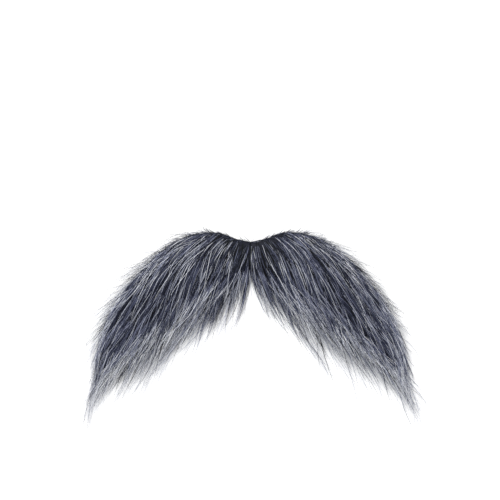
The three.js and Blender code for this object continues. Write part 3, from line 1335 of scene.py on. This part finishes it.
LOTS = (
    StrandLot(
        name="underlayer",
        count=2400,
        stations=5,
        width=(0.2 * MM, 0.34 * MM),
        length=(0.35, 0.55, 0.75),
        lift=(-0.3 * MM, 0.4 * MM),
        tone=0.1,
        tone_spread=0.08,
        tufts=300,
        gather=0.3,
        stray_turn=9,
        trim=0.8,
        zone=(0.0, 0.94),
        seed=11,
    ),
    StrandLot(
        name="pile",
        count=3000,
        stations=6,
        width=(0.15 * MM, 0.28 * MM),
        length=(0.65, 0.95, 1.1),
        lift=(0.1 * MM, 1.3 * MM),
        tone=0.26,
        tone_spread=0.12,
        tufts=420,
        gather=0.45,
        stray_turn=2,
        tuft_turn=4,
        wave=4,
        follow=0.8,
        seed=23,
    ),
    StrandLot(
        name="cover",
        count=5500,
        stations=7,
        width=(0.11 * MM, 0.22 * MM),
        length=(0.65, 0.95, 1.15),
        lift=(0.7 * MM, 2.1 * MM),
        tone=0.39,
        tone_spread=0.15,
        tufts=620,
        gather=0.4,
        stray_turn=1.5,
        tuft_turn=4,
        wave=5,
        follow=0.8,
        seed=37,
    ),
    # Near-black strands: painted shade in the gaps between the locks.
    StrandLot(
        name="shade",
        count=680,
        stations=7,
        width=(0.18 * MM, 0.34 * MM),
        length=(0.5, 0.8, 1.05),
        lift=(1.0 * MM, 2.3 * MM),
        tone=0.05,
        tone_spread=0.05,
        tufts=200,
        gather=0.3,
        stray_turn=3,
        seed=43,
    ),
    # Light strands on top: partly the fur's own pale fibres and partly painted highlight along the
    # hair.
    StrandLot(
        name="pale_and_highlight",
        count=450,
        stations=11,
        width=(0.12 * MM, 0.24 * MM),
        length=(0.9, 1.2, 1.45),
        lift=(1.8 * MM, 3.0 * MM),
        tone=0.86,
        tone_spread=0.12,
        tufts=420,
        gather=0.25,
        follow=0.4,
        stray_turn=6,
        wave=16,
        trim=0.8,
        lock_share=0.4,
        root_shade_share=0.15,
        thinning=0.5,
        seed=41,
    ),
    StrandLot(
        name="crown",
        count=620,
        stations=6,
        width=(0.14 * MM, 0.26 * MM),
        length=(0.3, 0.5, 0.8),
        lift=(0.2 * MM, 1.9 * MM),
        tone=0.36,
        tone_spread=0.28,
        tufts=120,
        gather=0.25,
        stray_turn=8,
        zone=(0.0, 0.45),
        stretch=(0.0, 0.4),
        trim=0.5,
        root_shade_share=0.5,
        seed=47,
    ),
    StrandLot(
        name="fringe",
        count=900,
        stations=7,
        width=(0.1 * MM, 0.2 * MM),
        length=(1.2, 1.9, 2.7),
        lift=(0.2 * MM, 1.8 * MM),
        tone=0.9,
        tone_spread=0.2,
        tufts=200,
        gather=0.6,
        stray_turn=7,
        wave=12,
        zone=(0.7, 1.0),
        trim=0.66,
        uneven=0.25,
        stretch=(0.0, 0.94),
        thinning=0.7,
        seed=53,
    ),
    StrandLot(
        name="edge",
        count=400,
        stations=9,
        width=(0.22 * MM, 0.4 * MM),
        length=(0.9, 1.5, 2.15),
        lift=(0.6 * MM, 2.0 * MM),
        tone=0.48,
        tone_spread=0.34,
        tufts=180,
        gather=0.3,
        follow=0.3,
        stray_turn=8,
        wave=16,
        zone=(0.75, 1.0),
        stretch=(0.04, 0.86),
        trim=0.6,
        thinning=0.4,
        seed=71,
    ),
    StrandLot(
        name="wisps",
        count=34,
        stations=8,
        width=(0.18 * MM, 0.32 * MM),
        length=(0.9, 1.5, 2.1),
        lift=(0.2 * MM, 1.6 * MM),
        tone=0.4,
        tone_spread=0.34,
        tufts=24,
        gather=0.3,
        stray_turn=6,
        wave=8,
        zone=(0.0, 1.0),
        stretch=(0.9, 1.0),
        trim=0.4,
        lean=2,
        uneven=0.25,
        thinning=0.6,
        seed=67,
    ),
    StrandLot(
        name="flyaway",
        count=440,
        stations=8,
        width=(0.08 * MM, 0.18 * MM),
        length=(0.5, 0.95, 1.7),
        lift=(0.6 * MM, 2.2 * MM),
        tone=0.43,
        tone_spread=0.26,
        tufts=260,
        gather=0.15,
        follow=0.2,
        stray_turn=10,
        wave=20,
        zone=(0.0, 0.16),
        stretch=(0.2, 0.97),
        lean=-10,
        bend=0.8,
        trim=0.5,
        seed=59,
    ),
    StrandLot(
        name="stubs",
        count=180,
        stations=5,
        width=(0.1 * MM, 0.22 * MM),
        length=(0.06, 0.12, 0.25),
        lift=(0.1 * MM, 1.2 * MM),
        tone=0.28,
        tone_spread=0.15,
        tufts=150,
        gather=0.1,
        follow=0.2,
        stray_turn=20,
        wave=8,
        zone=(0.0, 0.04),
        stretch=(0.0, 0.44),
        comb=0.1,
        lean=-26,
        bend=0.2,
        trim=0.2,
        seed=61,
    ),
)


@dataclass
class FurHalf:
    """One half of the fur: the underfur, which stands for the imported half, and its strands."""

    side: Side
    plan: WingPlan
    relief: Relief
    field: HairField

    def build(self, finish: dict[str, bpy.types.Material]) -> list[bpy.types.Object]:
        """Builds and dresses this half.

        Args:
            finish: the materials by the name of the layer that they dress.

        Returns:
            The pieces made.
        """
        word = self.side.name.lower()
        dome = Underfur(self.plan, self.relief).build(self.side)
        dome.data.materials.append(finish["underfur"])
        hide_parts(f"{word}_fur")
        made = [dome]
        for lot in LOTS:
            strands = self.field.grow(lot, self.side)
            piece = StrandMesher().build(f"{lot.name}_{word}", strands)
            piece.data.materials.append(finish[lot.name])
            made.append(piece)
        for piece in made:
            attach(piece, ROOT_BODY)
            LOG.info("%s: %d triangles", piece.name, len(piece.data.polygons))
        return made


@dataclass(frozen=True)
class KnitFinish:
    """The dark warp knit that the pile is rooted in."""

    thread: str = "2a2d33"
    # Near-black colour painted as shade in the gaps between the loops.
    gap: str = "0a0b0d"
    thread_from: float = 0.7
    wale: float = 0.9 * MM
    courses_to_wales: float = 1.35
    wander: float = 1.2
    detail: float = 2.0
    loop_height: float = 0.25 * MM
    loop_strength: float = 0.7
    roughness: float = 0.92
    fuzz: float = 0.2

    def material(self) -> bpy.types.Material:
        """Makes the knit as interlocking rows of loops with a matt, fuzzy face and painted shade in
        the gaps between them.

        Returns:
            The material.
        """
        material, shader = new_material("backing_knit")
        tree = material.node_tree
        nodes, links = tree.nodes, tree.links
        place = nodes.new("ShaderNodeTexCoord")
        waves = []
        for turn, scale in ((0.0, 1.0), (math.pi / 2, self.courses_to_wales)):
            mapping = nodes.new("ShaderNodeMapping")
            mapping.inputs["Rotation"].default_value = (0, 0, turn)
            links.new(place.outputs["Object"], mapping.inputs["Vector"])
            wave = nodes.new("ShaderNodeTexWave")
            wave.inputs["Scale"].default_value = scale / self.wale / 2
            wave.inputs["Distortion"].default_value = self.wander
            wave.inputs["Detail"].default_value = self.detail
            links.new(mapping.outputs["Vector"], wave.inputs["Vector"])
            waves.append(wave)
        loops = nodes.new("ShaderNodeMath")
        loops.operation = "MULTIPLY"
        links.new(waves[0].outputs["Fac"], loops.inputs[0])
        links.new(waves[1].outputs["Fac"], loops.inputs[1])
        stops = ((0.0, hex_colour(self.gap)), (self.thread_from, hex_colour(self.thread)))
        ramp = ramp_node(tree, stops)
        links.new(loops.outputs[0], ramp.inputs["Fac"])
        links.new(ramp.outputs["Color"], shader.inputs["Base Color"])
        bump_node(tree, shader, loops.outputs[0], self.loop_strength, self.loop_height)
        shader.inputs["Roughness"].default_value = self.roughness
        shader.inputs["Sheen Weight"].default_value = self.fuzz
        return material


@dataclass(frozen=True)
class LinerFinish:
    """The pale release liner over the adhesive, with faint mottling and a light waxy sheen."""

    light: str = "efece2"
    shade: str = "ddd8ca"
    light_from: float = 0.65
    shade_to: float = 0.3
    mottle: float = 260.0
    detail: float = 6.0
    roughness: tuple[float, float] = (0.28, 0.5)
    dent: float = 0.1 * MM
    dent_strength: float = 0.3

    def material(self) -> bpy.types.Material:
        """Makes the liner's paper with its fibres and shallow dents.

        Returns:
            The material.
        """
        material, shader = new_material("adhesive_liner")
        tree = material.node_tree
        nodes, links = tree.nodes, tree.links
        place = nodes.new("ShaderNodeTexCoord")
        noise = nodes.new("ShaderNodeTexNoise")
        noise.inputs["Scale"].default_value = self.mottle
        noise.inputs["Detail"].default_value = self.detail
        links.new(place.outputs["Object"], noise.inputs["Vector"])
        light, shade = hex_colour(self.light), hex_colour(self.shade)
        ramp = ramp_node(tree, ((self.shade_to, shade), (self.light_from, light)))
        links.new(noise.outputs["Fac"], ramp.inputs["Fac"])
        links.new(ramp.outputs["Color"], shader.inputs["Base Color"])
        rough = nodes.new("ShaderNodeMapRange")
        rough.inputs["To Min"].default_value, rough.inputs["To Max"].default_value = self.roughness
        links.new(noise.outputs["Fac"], rough.inputs["Value"])
        links.new(rough.outputs["Result"], shader.inputs["Roughness"])
        bump_node(tree, shader, noise.outputs["Fac"], self.dent_strength, self.dent)
        return material


@dataclass
class Backing:
    """The cloth and the adhesive strip under the fur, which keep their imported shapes."""

    nodes: dict[str, bpy.types.Object]
    cut: tuple[float, float] = (133 * MM, 62.5 * MM)
    cut_area: float = 38e-4

    def dress(self) -> None:
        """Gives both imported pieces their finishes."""
        for name, material in (
            ("backing_cloth", KnitFinish().material()),
            ("adhesive_strip", LinerFinish().material()),
        ):
            piece = self.nodes[name]
            piece.data.materials.clear()
            piece.data.materials.append(material)
            LOG.info("%s: dressed", name)


@dataclass
class Studio:
    """A pale floor, soft light and the camera straight above, as in the photograph."""

    picture_pixels: int = 500
    pixel: float = 0.4335 * MM
    parting_column: float = 250.5
    origin_row: float = 255.4
    lens: float = 85.0
    sensor: float = 36.0
    focus_height: float = 4 * MM
    nearest_seen: float = 0.01
    floor_half: float = 3.0
    floor_drop: float = 0.05 * MM
    floor_colour: Colour = (0.9, 0.9, 0.9, 1)
    floor_roughness: float = 0.9
    floor_gloss: float = 0.1
    surround: float = 0.85
    lamp_size: float = 0.5
    lamp_power: float = 6.0
    lamp_place: tuple[float, float, float] = (-0.2, 0.35, 0.7)

    def floor(self) -> None:
        """The floor that the moustache lies on."""
        size = self.floor_half
        corners = np.array([(-size, -size, 0), (size, -size, 0), (size, size, 0), (-size, size, 0)])
        made = mesh_object("floor", corners, np.array([(0, 1, 2), (0, 2, 3)]))
        made.location.z = -self.floor_drop
        material, shader = new_material("floor_paper")
        shader.inputs["Base Color"].default_value = self.floor_colour
        shader.inputs["Roughness"].default_value = self.floor_roughness
        shader.inputs["Specular IOR Level"].default_value = self.floor_gloss
        made.data.materials.append(material)

    def camera(self) -> None:
        """The camera at the height where one pixel is one pixel of the photograph."""
        data = bpy.data.cameras.new("camera")
        data.lens = self.lens
        data.sensor_width = self.sensor
        data.clip_start = self.nearest_seen
        made = bpy.data.objects.new("camera", data)
        middle = self.picture_pixels / 2
        width = self.picture_pixels * self.pixel
        made.location = (
            (middle - self.parting_column) * self.pixel,
            (self.origin_row - middle) * self.pixel,
            width * self.lens / self.sensor + self.focus_height,
        )
        bpy.context.scene.collection.objects.link(made)
        bpy.context.scene.camera = made

    def light(self) -> None:
        """An even white surround with one large soft lamp above and behind."""
        world = bpy.data.worlds.new("surround")
        world.use_nodes = True
        sky = world.node_tree.nodes["Background"]
        sky.inputs["Color"].default_value = (1, 1, 1, 1)
        sky.inputs["Strength"].default_value = self.surround
        bpy.context.scene.world = world
        data = bpy.data.lights.new("lamp", "AREA")
        data.shape = "DISK"
        data.size = self.lamp_size
        data.energy = self.lamp_power
        made = bpy.data.objects.new("lamp", data)
        made.location = self.lamp_place
        direction = -made.location
        made.rotation_euler = direction.to_track_quat("-Z", "Y").to_euler()
        bpy.context.scene.collection.objects.link(made)

    def build(self) -> None:
        """Sets up the whole studio, with noise removal that keeps single hairs sharp."""
        self.floor()
        self.camera()
        self.light()
        bpy.context.scene.view_settings.view_transform = "Standard"
        bpy.context.scene.cycles.denoising_prefilter = "NONE"


def main() -> None:
    """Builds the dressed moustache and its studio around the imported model."""
    logging.basicConfig(level=logging.INFO, format="%(name)s: %(message)s")
    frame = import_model()
    Studio().build()
    plan = WingPlan.from_frame()
    relief = Relief(plan)
    field = HairField(plan, relief)
    # Material of the light strands: their tone is partly the fibres' own pale colour and partly
    # painted highlight.
    pale_and_highlight = FibreFinish("pale_and_highlight_fibre", FUR_TONES, tip_share=0.0, gloss=0.4).material()
    underfur = FibreFinish("underfur_fibre", FUR_TONES, tip_share=0.0).material()
    fur = FibreFinish("fur_fibre", FUR_TONES).material()
    grey = FibreFinish("edge_fibre", GREY_TONES, tip="848998").material()
    finish = {"underfur": underfur, "pale_and_highlight": pale_and_highlight}
    finish |= {name: fur for name in ("underlayer", "pile", "cover", "shade")}
    finish |= {name: grey for name in ("crown", "fringe", "edge", "wisps", "flyaway", "stubs")}
    for side in Side:
        FurHalf(side, plan, relief, field).build(finish)
    Backing(frame["nodes"]).dress()


if __name__ == "__main__":
    main()
